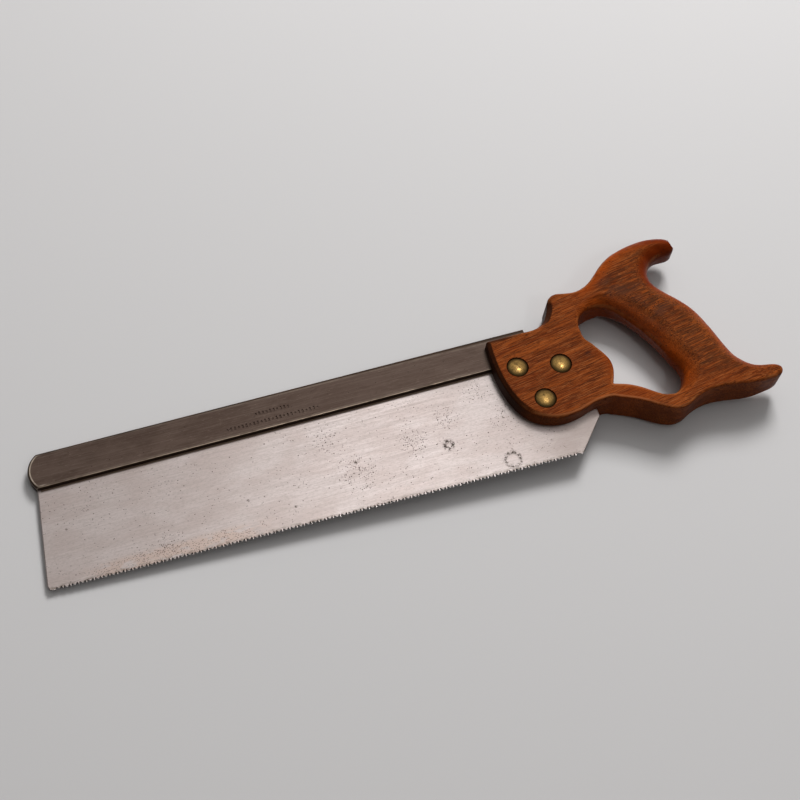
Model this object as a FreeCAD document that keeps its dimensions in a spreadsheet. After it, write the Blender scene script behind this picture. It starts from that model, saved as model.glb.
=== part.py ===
"""Back saw: a toothed steel plate held in a folded back, with a closed wooden handle and three saw screws.

The saw lies on its side, as it does on a bench. In the saw's own coordinates X runs from toe to
heel, Y runs from the teeth up to the back and Z is the thickness, with the lower side of the
handle on Z = 0. Y = 0 is the lower edge of the back and X = 0 is close to the toe of the plate.
Each body is then shifted so that the middle of the whole saw stands over the origin.
"""
import FreeCAD, Part
import math
import os

import Sketcher

Vector = FreeCAD.Vector

# Driving dimensions in millimetres. A position is in the saw's own coordinates.
DIMENSIONS = {
    "origin_shift_x": -211.88,
    "origin_shift_y": 3.07,
    # saw plate
    "plate_thickness": 0.8,
    "plate_tuck": 8.0,
    "toe_depth": 59.0,
    "heel_depth": 65.5,
    "toe_top_x": 0.9,
    "toe_bottom_x": -7.9,
    "heel_tip_x": 297.0,
    "heel_shoulder_x": 316.3,
    "heel_shoulder_depth": 45.3,
    "tooth_pitch": 2.06,
    "tooth_count": 147,
    "tooth_height": 1.2,
    "tooth_flat": 0.12,
    # folded back
    "back_height": 21.0,
    "back_thickness": 6.5,
    "back_toe_x": -3.0,
    "back_heel_x": 293.5,
    "back_toe_top_x": 3.6,
    "back_toe_bottom_x": 0.2,
    "back_toe_swell": 7.5,
    "fold_depth": 9.5,
    "back_edge_radius": 1.0,
    # handle
    "handle_thickness": 22.0,
    "kerf_width": 0.9,
    "kerf_heel_gap": 0.3,
    "mortise_width": 6.7,
    "mortise_gap": 0.2,
    "grip_front_radius": 5.0,
    "grip_rear_radius": 2.2,
    "nib_chamfer": 1.2,
    # saw screws and nuts
    "screw_hole_diameter": 5.2,
    "screw_shank_diameter": 4.8,
    "screw_head_diameter": 12.7,
    "screw_head_rim": 1.2,
    "screw_dome_height": 2.1,
    "counterbore_diameter": 13.0,
    "head_recess": 1.7,
    "nut_thickness": 2.8,
    "nut_recess": 3.1,
    "nut_bore_diameter": 4.9,
    "nut_slot_width": 1.4,
    "nut_slot_depth": 0.9,
}

# Screw centres on the cheek, in the saw's own coordinates.
SCREW_PLACES = {"front": (278.0, -6.6), "rear": (303.4, -11.4), "lower": (286.0, -30.4)}

# Outline of the handle, clockwise from the top front corner of the cheek. Each stretch is a smooth
# curve through its points and starts where the one before it ends.
HANDLE_OUTLINE = {
    "cheek_top": [(266.8, 15.0), (292.0, 15.0)],
    "nib": [(292.0, 15.0), (298.5, 15.8), (303.8, 18.3), (307.6, 22.2), (310.6, 27.4), (313.2, 32.6), (317.4, 35.0)],
    "saddle": [(317.4, 35.0), (323.5, 33.8), (330.5, 33.1), (341.0, 36.8), (352.0, 45.8), (362.0, 52.4)],
    "upper_horn": [(362.0, 52.4), (374.0, 57.0), (386.0, 59.3), (395.0, 58.6), (401.6, 56.3), (405.3, 52.2),
                   (404.9, 48.0), (401.2, 45.8)],
    "throat": [(401.2, 45.8), (394.4, 45.3), (388.0, 43.0), (383.5, 38.2), (382.0, 31.5), (384.6, 25.0)],
    "grip_rear": [(384.6, 25.0), (396.0, 10.2), (402.4, -4.0), (406.4, -21.0), (410.4, -33.8), (415.4, -40.8)],
    "lower_horn": [(415.4, -40.8), (422.0, -44.1), (428.4, -46.0), (431.6, -49.2), (430.2, -52.6), (425.4, -54.5)],
    "guard_under": [(425.4, -54.5), (413.0, -55.2), (399.0, -53.3), (385.0, -52.0), (372.5, -54.8), (361.5, -58.8),
                    (352.0, -55.8), (338.5, -46.9), (327.0, -41.6), (316.6, -40.4)],
    "cheek_under": [(316.6, -40.4), (306.0, -42.9), (294.5, -44.6), (283.5, -42.4), (274.2, -35.6),
                    (268.0, -23.0), (265.7, -8.0), (265.8, 4.0), (266.8, 15.0)],
}

# Outline of the hand hole, clockwise from the point behind the cheek.
HAND_HOLE = {
    "cheek_rear": [(328.2, -32.4), (331.6, -25.0), (332.6, -17.5), (329.6, -9.4), (325.2, -1.6), (323.6, 6.5)],
    "hole_top": [(323.6, 6.5), (326.4, 15.2), (333.6, 20.0), (343.0, 20.6), (351.0, 16.2)],
    "grip_front": [(351.0, 16.2), (360.4, 3.2), (367.0, -10.8), (372.0, -26.0), (373.6, -33.0)],
    "hole_bottom": [(373.6, -33.0), (370.6, -41.0), (364.6, -46.4), (357.8, -48.2)],
    "guard_top": [(357.8, -48.2), (350.0, -44.4), (342.0, -38.2), (335.0, -34.6), (328.2, -32.4)],
}

# Points where two stretches meet at a corner. Everywhere else they run on smoothly.
CORNERS = [(266.8, 15.0), (317.4, 35.0), (425.4, -54.5), (328.2, -32.4)]

# One stretch of each run of edges that is eased alike, how it is eased, and by how much.
EASED_EDGES = [
    ("Fillet", "Radius", "grip_front", "dims.grip_front_radius"),
    ("Fillet", "Radius", "grip_rear", "dims.grip_rear_radius"),
    ("Chamfer", "Size", "nib", "dims.nib_chamfer"),
]

document = FreeCAD.newDocument("back_saw")


# ---------------------------------------------------------------- helpers

def make_sheet():
    """Put the driving dimensions in a spreadsheet, one alias per row."""
    sheet = document.addObject("Spreadsheet::Sheet", "dims")
    for row, (alias, value) in enumerate(DIMENSIONS.items(), start=1):
        sheet.set(f"A{row}", alias)
        sheet.set(f"B{row}", str(value))
        sheet.setAlias(f"B{row}", alias)
    document.recompute()
    return sheet


def make_body(label, centre=(0.0, 0.0)):
    """Make a body whose own origin is at a point of the saw's coordinates."""
    body = document.addObject("PartDesign::Body", label)
    body.Label = label
    body.setExpression("Placement.Base.x", f"dims.origin_shift_x + {centre[0]}")
    body.setExpression("Placement.Base.y", f"dims.origin_shift_y + {centre[1]}")
    return body


def make_sketch(body, name, role="XY_Plane", height=None):
    """Make a sketch on one of the body's own planes, lifted by an expression."""
    sketch = body.newObject("Sketcher::SketchObject", name)
    plane = next(item for item in body.Origin.OriginFeatures if item.Role == role)
    sketch.AttachmentSupport = [(plane, "")]
    sketch.MapMode = "FlatFace"
    if height is not None:
        sketch.setExpression("AttachmentOffset.Base.z", height)
    return sketch


def value_of(amount):
    """Work out an expression over the sheet's aliases, or return a plain number as it is."""
    if isinstance(amount, (int, float)):
        return float(amount)
    result = sheet.evalExpression(amount)
    return float(getattr(result, "Value", result))


def bind(sketch, kind, targets, amount):
    """Add a dimension to a sketch and bind it to the sheet when its amount is an expression."""
    number = sketch.addConstraint(Sketcher.Constraint(kind, *targets, value_of(amount)))
    if isinstance(amount, str):
        sketch.setExpression(f"Constraints[{number}]", amount)


def bind_point(sketch, geometry, point, place):
    """Hold one point of a sketch at a pair of amounts."""
    bind(sketch, "DistanceX", (-1, 1, geometry, point), place[0])
    bind(sketch, "DistanceY", (-1, 1, geometry, point), place[1])


def place_of(corner):
    """Point of a sketch at a pair of amounts."""
    return Vector(value_of(corner[0]), value_of(corner[1]), 0)


def add_chain(sketch, corners):
    """Draw joined lines from corner to corner; the numbers of the lines run from 0."""
    places = [place_of(corner) for corner in corners]
    for index, (start, end) in enumerate(zip(places, places[1:])):
        sketch.addGeometry(Part.LineSegment(start, end), False)
        bind_point(sketch, index, 1, corners[index])
        if index > 0:
            sketch.addConstraint(Sketcher.Constraint("Coincident", index, 1, index - 1, 2))


def add_polygon(sketch, corners):
    """Draw a closed polygon from corner to corner."""
    add_chain(sketch, [*corners, corners[0]])
    sketch.addConstraint(Sketcher.Constraint("Coincident", 0, 1, len(corners) - 1, 2))


def close_with_arc(sketch, middle, first, last):
    """Close a chain of lines with an arc from the end of one line to the start of another."""
    start = sketch.getPoint(last, 2)
    end = sketch.getPoint(first, 1)
    arc = sketch.addGeometry(Part.Arc(start, middle, end), False)
    start_end = 1 if sketch.getPoint(arc, 1).distanceToPoint(start) < 0.01 else 2
    sketch.addConstraint(Sketcher.Constraint("Coincident", arc, start_end, last, 2))
    sketch.addConstraint(Sketcher.Constraint("Coincident", arc, 3 - start_end, first, 1))
    sketch.addConstraint(Sketcher.Constraint("Radius", arc, sketch.Geometry[arc].Radius))


def add_circle(sketch, diameter, centre=(0.0, 0.0)):
    """Draw a circle with a bound diameter and centre."""
    place = place_of(centre)
    circle = sketch.addGeometry(Part.Circle(place, Vector(0, 0, 1), value_of(diameter) / 2), False)
    bind(sketch, "Diameter", (circle,), diameter)
    bind_point(sketch, circle, 3, centre)


def direction(start, end):
    """Unit vector from one point of an outline to another."""
    return (Vector(*end, 0) - Vector(*start, 0)).normalize()


def shared_direction(before, after):
    """Direction of an outline where one stretch runs on into the next."""
    if len(before) == 2:
        return direction(*before)
    if len(after) == 2:
        return direction(*after)
    return direction(before[-2], after[1])


def outline_curves(stretches):
    """Turn each stretch of a closed outline into a line or a smooth curve."""
    runs = list(stretches.values())
    curves = {}
    for index, (name, points) in enumerate(stretches.items()):
        before = runs[index - 1]
        after = runs[(index + 1) % len(runs)]
        places = [Vector(across, up, 0) for across, up in points]
        if len(places) == 2:
            curves[name] = Part.LineSegment(*places)
            continue
        first = direction(*points[:2]) if points[0] in CORNERS else shared_direction(before, points)
        last = direction(*points[-2:]) if points[-1] in CORNERS else shared_direction(points, after)
        curves[name] = Part.BSplineCurve()
        curves[name].interpolate(Points=places, InitialTangent=first, FinalTangent=last)
    return curves


def add_outline(sketch, curves):
    """Draw a closed outline from the curves of its stretches."""
    first = sketch.GeometryCount
    for curve in curves.values():
        sketch.addGeometry(curve, False)
    count = sketch.GeometryCount - first
    for index in range(count):
        following = first + (index + 1) % count
        sketch.addConstraint(Sketcher.Constraint("Coincident", first + index, 2, following, 1))


def add_feature(body, kind, name, profile, **bound):
    """Add a PartDesign feature over a sketch and bind its sizes."""
    feature = body.newObject(f"PartDesign::{kind}", name)
    feature.Profile = profile
    for size, expression in bound.items():
        feature.setExpression(size, expression)
    return feature


def ease(body, kind, size, name, edges, amount):
    """Round or chamfer named edges of the body as it is so far."""
    base = body.Tip
    easing = body.newObject(f"PartDesign::{kind}", name)
    easing.Base = (base, edges)
    easing.setExpression(size, amount)
    body.Tip = easing


def slab_pocket(body, name, corners, floor, thickness):
    """Cut a flat slot with a polygon outline, upwards from a given height."""
    sketch = make_sketch(body, f"{name}_sketch", height=floor)
    add_polygon(sketch, corners)
    pocket = add_feature(body, "Pocket", name, sketch, Length=thickness)
    pocket.Reversed = True
    return pocket


def edges_along(shape, curve, heights):
    """Name the edges of a shape that follow a curve of its outline at the given heights."""
    found = []
    for number, edge in enumerate(shape.Edges, start=1):
        middle = edge.valueAt((edge.FirstParameter + edge.LastParameter) / 2)
        at_height = any(abs(middle.z - height) < 0.01 for height in heights)
        below = Part.Vertex(Vector(middle.x, middle.y, 0))
        if at_height and curve.toShape().distToShape(below)[0] < 0.01:
            found.append(f"Edge{number}")
    return found


# ---------------------------------------------------------------- sub-parts

def make_plate():
    """Steel plate with a toothed lower edge, tucked into the back along its upper edge."""
    body = make_body("saw_plate")
    middle = "(dims.handle_thickness - dims.plate_thickness) / 2"
    blank = make_sketch(body, "plate_blank", height=middle)
    add_polygon(blank, [
        ("dims.toe_top_x", "dims.plate_tuck"),
        ("dims.toe_bottom_x", "-dims.toe_depth"),
        ("dims.heel_tip_x", "-dims.heel_depth"),
        ("dims.heel_shoulder_x", "-dims.heel_shoulder_depth"),
        ("dims.heel_shoulder_x", "dims.plate_tuck"),
    ])
    add_feature(body, "Pad", "plate_sheet", blank, Length="dims.plate_thickness")

    for name, centre in SCREW_PLACES.items():
        hole = make_sketch(body, f"plate_hole_{name}", height=middle)
        add_circle(hole, "dims.screw_hole_diameter", centre)
        pocket = add_feature(body, "Pocket", f"plate_bore_{name}", hole, Length="dims.plate_thickness")
        pocket.Reversed = True

    # One gullet between two teeth, drawn on an axis that runs along the tooth line.
    gullet = make_sketch(body, "gullet", height=middle)
    gullet.setExpression("AttachmentOffset.Base.x", "dims.toe_bottom_x")
    gullet.setExpression("AttachmentOffset.Base.y", "-dims.toe_depth")
    run = value_of("dims.heel_tip_x - dims.toe_bottom_x")
    drop = value_of("dims.heel_depth - dims.toe_depth")
    turn = FreeCAD.Rotation(Vector(0, 0, 1), -math.degrees(math.atan2(drop, run)))
    gullet.AttachmentOffset = FreeCAD.Placement(gullet.AttachmentOffset.Base, turn)
    add_polygon(gullet, [
        ("dims.tooth_flat", "-dims.tooth_flat"),
        ("dims.tooth_pitch - dims.tooth_flat", "-dims.tooth_flat"),
        ("dims.tooth_pitch / 2", "dims.tooth_height"),
    ])
    notch = add_feature(body, "Pocket", "first_gullet", gullet, Length="dims.plate_thickness")
    notch.Reversed = True
    document.recompute()
    teeth = body.newObject("PartDesign::LinearPattern", "teeth")
    teeth.Originals = [notch]
    teeth.Direction = (gullet, ["H_Axis"])
    teeth.setExpression("Length", "dims.tooth_pitch * (dims.tooth_count - 1)")
    teeth.setExpression("Occurrences", "dims.tooth_count")
    body.Tip = teeth
    return body


def make_back():
    """Heavy strip folded over the upper edge of the plate, with a swelled toe."""
    body = make_body("saw_back")
    side = make_sketch(body, "back_side", height="(dims.handle_thickness - dims.back_thickness) / 2")
    add_chain(side, [
        ("dims.back_toe_top_x", "dims.back_height"),
        ("dims.back_heel_x", "dims.back_height"),
        ("dims.back_heel_x", 0.0),
        ("dims.back_toe_bottom_x", 0.0),
    ])
    bind_point(side, 2, 2, ("dims.back_toe_bottom_x", 0.0))
    close_with_arc(side, place_of(("dims.back_toe_x", "dims.back_toe_swell")), 0, 2)
    add_feature(body, "Pad", "back_strip", side, Length="dims.back_thickness")

    document.recompute()

    # The long top edges and the edges around the swelled toe are rounded on both faces.
    outer = []
    for number, edge in enumerate(body.Tip.Shape.Edges, start=1):
        middle = edge.valueAt((edge.FirstParameter + edge.LastParameter) / 2)
        off_centre = abs(middle.z - value_of("dims.handle_thickness / 2"))
        on_face = abs(off_centre - value_of("dims.back_thickness / 2")) < 0.01
        along_top = abs(middle.y - value_of("dims.back_height")) < 0.01
        at_toe = middle.x < value_of("dims.back_toe_bottom_x")
        if on_face and (along_top or at_toe):
            outer.append(f"Edge{number}")
    ease(body, "Fillet", "Radius", "back_rounding", outer, "dims.back_edge_radius")

    slab_pocket(body, "fold_gap", [
        ("2 * dims.back_toe_x", "-dims.plate_thickness"),
        ("dims.back_heel_x + dims.plate_thickness", "-dims.plate_thickness"),
        ("dims.back_heel_x + dims.plate_thickness", "dims.fold_depth"),
        ("2 * dims.back_toe_x", "dims.fold_depth"),
    ], "(dims.handle_thickness - dims.plate_thickness) / 2", "dims.plate_thickness")
    return body


def make_handle():
    """Closed wooden handle with a kerf for the plate, a mortise for the back and three screw bores."""
    body = make_body("handle")
    outline = make_sketch(body, "handle_outline")
    rim = outline_curves(HANDLE_OUTLINE)
    hole = outline_curves(HAND_HOLE)
    add_outline(outline, rim)
    add_outline(outline, hole)
    add_feature(body, "Pad", "handle_blank", outline, Length="dims.handle_thickness")
    document.recompute()

    curves = {**rim, **hole}
    faces = (0.0, value_of("dims.handle_thickness"))
    for kind, size, stretch, amount in EASED_EDGES:
        eased = edges_along(body.Tip.Shape, curves[stretch], faces)
        ease(body, kind, size, f"{stretch}_easing", eased, amount)
        document.recompute()

    slab_pocket(body, "kerf", [
        ("dims.toe_bottom_x", "-dims.heel_depth"),
        ("dims.heel_shoulder_x + dims.kerf_heel_gap", "-dims.heel_depth"),
        ("dims.heel_shoulder_x + dims.kerf_heel_gap", "dims.plate_tuck + dims.kerf_heel_gap"),
        ("dims.toe_bottom_x", "dims.plate_tuck + dims.kerf_heel_gap"),
    ], "(dims.handle_thickness - dims.kerf_width) / 2", "dims.kerf_width")
    slab_pocket(body, "mortise", [
        ("dims.toe_bottom_x", "-dims.mortise_gap"),
        ("dims.back_heel_x + dims.mortise_gap", "-dims.mortise_gap"),
        ("dims.back_heel_x + dims.mortise_gap", "2 * dims.back_height"),
        ("dims.toe_bottom_x", "2 * dims.back_height"),
    ], "(dims.handle_thickness - dims.mortise_width) / 2", "dims.mortise_width")

    bores = [
        ("bore", "dims.screw_hole_diameter", None, "dims.handle_thickness"),
        ("nut_recess", "dims.counterbore_diameter", None, "dims.nut_recess"),
        ("head_recess", "dims.counterbore_diameter", "dims.handle_thickness - dims.head_recess", "dims.head_recess"),
    ]
    for name, centre in SCREW_PLACES.items():
        for label, diameter, floor, length in bores:
            sketch = make_sketch(body, f"{label}_{name}_sketch", height=floor)
            add_circle(sketch, diameter, centre)
            pocket = add_feature(body, "Pocket", f"{label}_{name}", sketch, Length=length)
            pocket.Reversed = True
    return body


def make_screw(name, centre):
    """Domed brass saw screw: a low dome on a thin rim, with its shank down to the nut's face."""
    body = make_body(f"{name}_saw_screw", centre)
    seat = "dims.handle_thickness - dims.head_recess"
    rim = f"{seat} + dims.screw_head_rim"
    top = f"{rim} + dims.screw_dome_height"
    tip = "dims.nut_recess - dims.nut_thickness"
    sketch = make_sketch(body, f"{name}_screw_half", role="XZ_Plane")
    add_chain(sketch, [
        (0.0, top),
        (0.0, tip),
        ("dims.screw_shank_diameter / 2", tip),
        ("dims.screw_shank_diameter / 2", seat),
        ("dims.screw_head_diameter / 2", seat),
        ("dims.screw_head_diameter / 2", rim),
    ])
    bind_point(sketch, 4, 2, ("dims.screw_head_diameter / 2", rim))

    # The dome is an arc of a circle that meets the screw's axis squarely.
    half = value_of("dims.screw_head_diameter / 2")
    rise = value_of("dims.screw_dome_height")
    radius = (half ** 2 + rise ** 2) / (2 * rise)
    slope = math.asin(half / radius) / 2
    drop = radius * (1 - math.cos(slope))
    close_with_arc(sketch, Vector(radius * math.sin(slope), value_of(top) - drop, 0), 0, 4)

    turning = body.newObject("PartDesign::Revolution", f"{name}_screw_turned")
    turning.Profile = sketch
    turning.ReferenceAxis = (sketch, ["V_Axis"])
    turning.Angle = 360
    return body


def make_nut(name, centre):
    """Flush round brass nut with a driver slot across its outer face."""
    body = make_body(f"{name}_saw_nut", centre)
    face = "dims.nut_recess - dims.nut_thickness"
    disc = make_sketch(body, f"{name}_nut_disc", height=face)
    add_circle(disc, "dims.screw_head_diameter")
    add_circle(disc, "dims.nut_bore_diameter")
    add_feature(body, "Pad", f"{name}_nut_blank", disc, Length="dims.nut_thickness")
    reach = "dims.screw_head_diameter"
    half = "dims.nut_slot_width / 2"
    slab_pocket(body, f"{name}_nut_slot", [
        (f"-{reach}", f"-{half}"),
        (reach, f"-{half}"),
        (reach, half),
        (f"-{reach}", half),
    ], face, "dims.nut_slot_depth")
    return body


# ---------------------------------------------------------------- build, check and export

sheet = make_sheet()
bodies = [make_plate(), make_back(), make_handle()]
for screw_name, screw_centre in SCREW_PLACES.items():
    bodies.append(make_screw(screw_name, screw_centre))
    bodies.append(make_nut(screw_name, screw_centre))
document.recompute()

for item in document.Objects:
    if "Invalid" in item.State or "Error" in item.State:
        raise RuntimeError(f"{item.Label} failed: {item.State}")
for body in bodies:
    if body.Shape.isNull() or not body.Shape.isValid():
        raise RuntimeError(f"{body.Label} has no valid shape")

os.makedirs("parts", exist_ok=True)
whole = FreeCAD.BoundBox()
for body in bodies:
    body.Shape.exportStep(f"parts/{body.Label}.step")
    whole.add(body.Shape.BoundBox)
    print(f"{body.Label}: {body.Shape.Volume:.0f} cubic mm, {len(body.Shape.Solids)} solid")
print(f"whole saw {whole.XLength:.1f} x {whole.YLength:.1f} x {whole.ZLength:.1f} mm, "
      f"centre {whole.Center.x:.2f}, {whole.Center.y:.2f}, bottom {whole.ZMin:.2f}")
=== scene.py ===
"""Back saw lying on its side: toothed plate, folded back, carved wooden handle and three brass saw screws.

Lengths are in millimetres in the saw's own coordinates: X from toe to heel, Y from the teeth up to
the back with 0 at the back's lower edge, and Z through the thickness. in_frame() turns them into
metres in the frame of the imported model.
"""
import math

import bmesh
import bpy
import numpy as np
from mathutils import Euler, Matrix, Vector


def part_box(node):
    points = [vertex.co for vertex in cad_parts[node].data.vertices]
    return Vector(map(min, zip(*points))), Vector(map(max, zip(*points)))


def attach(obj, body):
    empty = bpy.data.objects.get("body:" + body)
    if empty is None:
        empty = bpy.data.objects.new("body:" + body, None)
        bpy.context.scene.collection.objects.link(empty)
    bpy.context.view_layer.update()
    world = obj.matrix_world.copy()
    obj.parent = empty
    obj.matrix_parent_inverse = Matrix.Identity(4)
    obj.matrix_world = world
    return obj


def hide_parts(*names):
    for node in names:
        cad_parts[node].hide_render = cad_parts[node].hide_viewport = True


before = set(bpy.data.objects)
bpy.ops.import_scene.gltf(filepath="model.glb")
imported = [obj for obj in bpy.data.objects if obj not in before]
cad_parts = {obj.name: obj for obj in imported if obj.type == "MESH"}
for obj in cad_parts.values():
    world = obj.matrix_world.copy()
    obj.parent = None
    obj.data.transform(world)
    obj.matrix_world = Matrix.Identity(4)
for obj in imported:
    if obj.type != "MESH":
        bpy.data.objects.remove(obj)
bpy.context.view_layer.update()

MM = 0.001
BACK_HEEL = 293.5
HALF_HANDLE = 11.0
PLATE_HALF = 0.4
BACK_HALF = 3.25
HOLE_RADIUS = 2.6
SCREW_PLACES = {"front": (278.0, -6.6), "rear": (303.4, -11.4), "lower": (286.0, -30.4)}

back_low, back_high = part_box("saw_back")
ORIGIN = np.array([back_high[0] - BACK_HEEL * MM, back_low[1], (back_low[2] + back_high[2]) / 2])


def in_frame(points):
    """Saw coordinates in millimetres, with Z from the middle of the plate, as metres in the frame."""
    return np.asarray(points, dtype=float) * MM + ORIGIN


# ---------------------------------------------------------------- meshes

def new_object(name, data):
    """Add an object to the scene."""
    item = bpy.data.objects.new(name, data)
    bpy.context.scene.collection.objects.link(item)
    return item


def make_piece(name, points, faces, replaced, sharp_angle=35.0):
    """Make an object from saw coordinates that stands for a CAD node and rides on the saw."""
    mesh = bpy.data.meshes.new(name)
    mesh.from_pydata(in_frame(points).tolist(), [], [list(map(int, face)) for face in faces])
    mesh.validate()
    piece = new_object(name, mesh)
    smooth(piece, sharp_angle)
    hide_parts(replaced)
    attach(piece, "root")
    return piece


def smooth(piece, sharp_angle):
    """Shade a piece smoothly, except over edges sharper than the angle."""
    piece.data.polygons.foreach_set("use_smooth", [True] * len(piece.data.polygons))
    piece.data.set_sharp_from_angle(angle=math.radians(sharp_angle))


def cut(piece, solids, sharp_angle=35.0):
    """Take closed solids, each given as points and faces in saw coordinates, out of a piece."""
    mesh = bpy.data.meshes.new("cutter")
    all_points, all_faces = [], []
    for points, faces in solids:
        start = len(all_points)
        all_points.extend(in_frame(points).tolist())
        all_faces.extend([[start + index for index in face] for face in faces])
    mesh.from_pydata(all_points, [], all_faces)
    cutter = new_object("cutter", mesh)
    boolean = piece.modifiers.new("cut", "BOOLEAN")
    boolean.operation = "DIFFERENCE"
    boolean.solver = "MANIFOLD"
    boolean.object = cutter
    bpy.context.view_layer.update()
    result = bpy.data.meshes.new_from_object(piece.evaluated_get(bpy.context.evaluated_depsgraph_get()))
    piece.modifiers.remove(boolean)
    old = piece.data
    piece.data = result
    bpy.data.meshes.remove(old)
    bpy.data.objects.remove(cutter)
    bpy.data.meshes.remove(mesh)
    clean = bmesh.new()
    clean.from_mesh(result)
    bmesh.ops.remove_doubles(clean, verts=clean.verts, dist=0.001 * MM)
    clean.to_mesh(result)
    clean.free()
    smooth(piece, sharp_angle)


def block(low, high):
    """Closed box between two corners."""
    points = [(x, y, z) for z in (low[2], high[2]) for x, y in
              ((low[0], low[1]), (high[0], low[1]), (high[0], high[1]), (low[0], high[1]))]
    sides = [(index, (index + 1) % 4, (index + 1) % 4 + 4, index + 4) for index in range(4)]
    return points, [(3, 2, 1, 0), (4, 5, 6, 7), *sides]


def lathe(profile, centre, steps=96):
    """Closed solid turned about Z from a profile of radius and height that starts and ends on the axis."""
    points = [(*centre, profile[0][1])]
    for radius, height in profile[1:-1]:
        for step in range(steps):
            turn = 2 * math.pi * step / steps
            across, up = radius * math.cos(turn), radius * math.sin(turn)
            points.append((centre[0] + across, centre[1] + up, height))
    points.append((*centre, profile[-1][1]))
    faces = []
    rings = len(profile) - 2
    last = len(points) - 1
    for step in range(steps):
        following = (step + 1) % steps
        faces.append((0, 1 + following, 1 + step))
        for ring in range(rings - 1):
            low = 1 + ring * steps
            high = low + steps
            faces.append((low + step, low + following, high + following, high + step))
        top = 1 + (rings - 1) * steps
        faces.append((top + step, top + following, last))
    return points, faces


def distance_and_side(places, loops):
    """Distance in the plane from each place to closed loops, and whether the place is inside them."""
    nearest = np.full(len(places), np.inf)
    inside = np.zeros(len(places), dtype=bool)
    for loop in loops:
        for start, end in zip(loop, np.roll(loop, -1, axis=0)):
            run = end - start
            offset = places - start
            along = np.clip(offset @ run / max(run @ run, 1e-12), 0.0, 1.0)
            gap = offset - along[:, None] * run
            nearest = np.minimum(nearest, np.einsum("ij,ij->i", gap, gap))
            if run[1] != 0.0:
                crosses = (places[:, 1] < start[1]) != (places[:, 1] < end[1])
                reach = start[0] + (places[:, 1] - start[1]) * run[0] / run[1]
                inside ^= crosses & (places[:, 0] < reach)
    return np.sqrt(nearest), inside


def mark_rim(piece, loops, furthest):
    """Store on each point how far in plan it lies from the outline, up to a furthest distance."""
    count = len(piece.data.vertices)
    places = np.empty(count * 3)
    piece.data.vertices.foreach_get("co", places)
    places = (places.reshape(-1, 3) - ORIGIN) / MM
    gap, _ = distance_and_side(places[:, :2], loops)
    rim = piece.data.attributes.new("rim", "FLOAT", "POINT")
    rim.data.foreach_set("value", np.minimum(gap, furthest))


def section_loops(node, height, shortest):
    """Closed outlines of a CAD node at a height, leaving out those with a shorter way round."""
    slice_mesh = bmesh.new()
    slice_mesh.from_mesh(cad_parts[node].data)
    bmesh.ops.remove_doubles(slice_mesh, verts=slice_mesh.verts, dist=0.001 * MM)
    everything = [*slice_mesh.verts, *slice_mesh.edges, *slice_mesh.faces]
    plane = (0.0, 0.0, float(ORIGIN[2]) + height * MM)
    found = bmesh.ops.bisect_plane(
        slice_mesh, geom=everything, plane_co=plane, plane_no=(0, 0, 1), clear_inner=True, clear_outer=True)
    edges = {item for item in found["geom_cut"] if isinstance(item, bmesh.types.BMEdge)}
    loops = []
    while edges:
        edge = edges.pop()
        first, current = edge.verts
        chain = [first.co.copy(), current.co.copy()]
        while True:
            ahead = next((other for other in current.link_edges if other in edges), None)
            if ahead is None:
                break
            edges.remove(ahead)
            current = ahead.other_vert(current)
            chain.append(current.co.copy())
        loop = (np.array(chain[:-1]) - ORIGIN) / MM
        around = np.linalg.norm(loop - np.roll(loop, -1, axis=0), axis=1).sum()
        if around > shortest:
            loops.append(ordered_loop(loop[:, :2]))
    slice_mesh.free()
    return sorted(loops, key=lambda loop: tuple(loop[0]))


def ordered_loop(loop):
    """The same closed loop, always anticlockwise and from its leftmost point."""
    following = np.roll(loop, -1, axis=0)
    if (loop[:, 0] * following[:, 1] - following[:, 0] * loop[:, 1]).sum() < 0:
        loop = loop[::-1]
    leftmost = np.lexsort((loop[:, 1], loop[:, 0]))[0]
    return np.roll(loop, -leftmost, axis=0)


def surface_net(field, low, cell):
    """Mesh the zero surface of a field: a point in each crossed cell, a quad on each crossed edge."""
    units = np.eye(3, dtype=int)
    cells = np.array(field.shape) - 1
    quads, places = [], []
    for axis in range(3):
        ahead, side, other = units[axis], units[(axis + 1) % 3], units[(axis + 2) % 3]
        start = field[tuple(slice(0, size - step) for size, step in zip(field.shape, ahead))]
        end = field[tuple(slice(step, None) for step in ahead)]
        edges = np.argwhere((start < 0) != (end < 0))
        near = start[tuple(edges.T)]
        far = end[tuple(edges.T)]
        crossing = edges + ahead * (near / (near - far))[:, None]
        around = [edges - side - other, edges - other, edges, edges - side]
        owners = np.stack([np.ravel_multi_index(tuple(corner.T), cells) for corner in around], axis=1)
        owners[near >= 0] = owners[near >= 0][:, ::-1]
        quads.append(owners)
        places.append(np.repeat(crossing, 4, axis=0))
    quads = np.concatenate(quads)
    used, index = np.unique(quads.ravel(), return_inverse=True)
    order = np.concatenate(places)
    total = np.stack([np.bincount(index, order_axis) for order_axis in order.T], axis=1)
    points = total / np.bincount(index)[:, None]
    return low + cell * points, index.reshape(-1, 4)


# ---------------------------------------------------------------- plate

TOE_TOP = (0.9, 8.0)
TOOTH_START = np.array([-7.9, -59.0])
TOOTH_END = np.array([297.0, -65.5])
TOOTH_PITCH = 2.06
TOOTH_COUNT = 147
TOOTH_HEIGHT = 1.7
TOOTH_SET = 0.25
TOOTH_SKEW = 0.38
SHOULDER = (316.3, -45.3)
EDGE_BEVEL = 0.55
BEVEL_DEPTH = 0.22


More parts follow.
